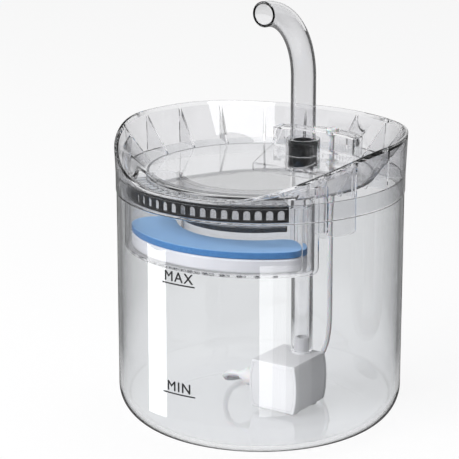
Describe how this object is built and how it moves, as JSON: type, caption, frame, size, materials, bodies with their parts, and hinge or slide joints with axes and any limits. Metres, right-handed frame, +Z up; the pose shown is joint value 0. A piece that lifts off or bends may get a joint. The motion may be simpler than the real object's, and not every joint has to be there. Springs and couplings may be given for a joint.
{
  "type": "pet water fountain",
  "caption": "Round clear tank with a clear drinking tray as its lid, a gooseneck spout on a rubber sleeve, a hanging filter box with a foam pad, and a small submersible pump",
  "frame": {"origin": "centre of the tank's underside, on the surface it stands on", "axes": "+Z up along the tank's axis, the filter box and the low part of the rim at -Y, the spout's upright at +Y, X to the right seen from the front"},
  "size_m": [0.17, 0.169, 0.2465],
  "materials": {
    "clear_shell": "clear moulded plastic, glossy",
    "smoked_plastic": "smoke-grey tinted plastic, glossy",
    "black_rubber": "black silicone rubber, satin",
    "blue_foam": "open-cell blue foam, matt",
    "white_fleece": "needled white fleece, matt",
    "carbon": "granular activated carbon, matt",
    "clear_hose": "clear silicone hose, satin",
    "white_plastic": "white moulded plastic, semi-gloss",
    "black_ferrite": "bonded ferrite magnet, matt dark grey",
    "shaft_steel": "ground stainless steel",
    "core_steel": "stacked steel sheet",
    "coil_copper": "enamelled copper wire windings",
    "board_green": "printed circuit board, satin",
    "pale_rubber": "translucent pale soft plastic"
  },
  "bodies": {
    "tank_body": {"tank": "clear_shell"},
    "lid_body": {"lid": "clear_shell", "riser_hose": "clear_hose", "pump_housing": "white_plastic", "pump_back": "white_plastic", "impeller_cover": "white_plastic", "rotor_shaft": "shaft_steel", "shaft_bushes": "black_rubber", "rotor_can": "white_plastic", "can_seal": "black_rubber", "stator_core": "core_steel", "stator_coils": "coil_copper", "circuit_board": "board_green", "cable_gland": "pale_rubber", "pump_lead": "pale_rubber", "lead_grommet": "pale_rubber", "pump_feet": "pale_rubber"},
    "sleeve_body": {"spout_sleeve": "black_rubber"},
    "spout_body": {"spout": "clear_shell"},
    "box_body": {"filter_box": "clear_shell", "back_guard": "smoked_plastic"},
    "pad_body": {"filter_foam": "blue_foam", "filter_wool": "white_fleece", "carbon_bed": "carbon"},
    "strainer_body": {"comb_strainer": "smoked_plastic"},
    "cover_body": {"pump_cover": "white_plastic"},
    "rotor_body": {"impeller": "white_plastic", "rotor_magnet": "black_ferrite"}
  },
  "joints": [
    {"name": "lid_lift", "type": "slide", "parent": "tank_body", "child": "lid_body", "axis": [0, 0, 1], "range_m": [0, 0.16]},
    {"name": "sleeve_pull", "type": "slide", "parent": "lid_body", "child": "sleeve_body", "axis": [0, 0, 1], "range_m": [0, 0.025]},
    {"name": "spout_turn", "type": "hinge", "parent": "sleeve_body", "child": "spout_body", "pos_m": [0, 0.0465, 0.17], "axis": [0, 0, 1], "range_deg": [-60, 60]},
    {"name": "box_pull", "type": "slide", "parent": "lid_body", "child": "box_body", "axis": [0, 0, -1], "range_m": [0, 0.055]},
    {"name": "pad_lift", "type": "slide", "parent": "box_body", "child": "pad_body", "axis": [0, 0, 1], "range_m": [0, 0.022]},
    {"name": "strainer_lift", "type": "slide", "parent": "lid_body", "child": "strainer_body", "axis": [0, 0, 1], "range_m": [0, 0.04]},
    {"name": "cover_pull", "type": "slide", "parent": "lid_body", "child": "cover_body", "axis": [0, 1, 0], "range_m": [0, 0.02]},
    {"name": "impeller_spin", "type": "hinge", "parent": "lid_body", "child": "rotor_body", "pos_m": [0.0137, 0.015, 0.01975], "axis": [0, 1, 0], "continuous": true}
  ]
}
